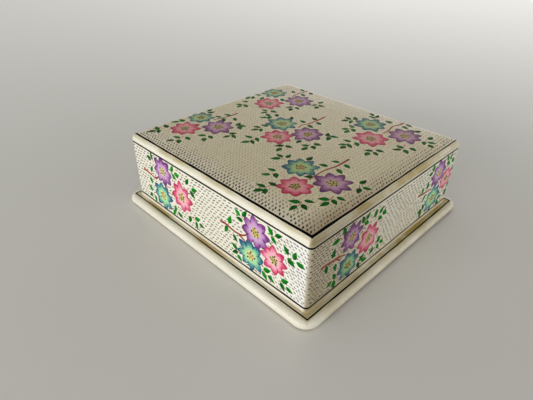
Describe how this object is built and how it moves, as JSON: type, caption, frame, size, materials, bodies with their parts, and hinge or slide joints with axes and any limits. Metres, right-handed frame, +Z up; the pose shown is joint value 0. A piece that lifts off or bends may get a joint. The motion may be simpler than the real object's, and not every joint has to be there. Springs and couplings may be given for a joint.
{
  "type": "lidded keepsake box",
  "caption": "Low, nearly square keepsake box with mitred walls on a rounded plinth base and a shallow lift-off lid, finished in ivory lacquer with painted flower sprays.",
  "frame": {"origin": "on the table, under the middle of the box", "axes": "+Z up, -Y out of the front wall, -X out of the left wall"},
  "size_m": [0.1372, 0.1422, 0.0441],
  "materials": {
    "ivory_lacquer": "ivory paint under gloss lacquer",
    "painted_panel": "ivory paint with brushed decoration under gloss lacquer",
    "bare_wood": "planed wood, thinly varnished",
    "lining_felt": "short napped felt",
    "base_felt": "thin pressed felt",
    "pin_steel": "drawn wire"
  },
  "bodies": {
    "box": {"base_board": "ivory_lacquer", "wall_front": "painted_panel", "wall_left": "painted_panel", "wall_right": "painted_panel", "wall_back": "painted_panel", "base_pins": "pin_steel", "floor_lining": "lining_felt", "base_felt": "base_felt"},
    "lid": {"lid_board": "painted_panel", "lid_batten_front": "bare_wood", "lid_batten_left": "bare_wood", "lid_batten_right": "bare_wood", "lid_batten_back": "bare_wood", "lid_lining": "lining_felt"}
  },
  "joints": [
    {"name": "lid_lift", "type": "slide", "parent": "box", "child": "lid", "axis": [0, 0, 1], "range_m": [0, 0.06]}
  ]
}
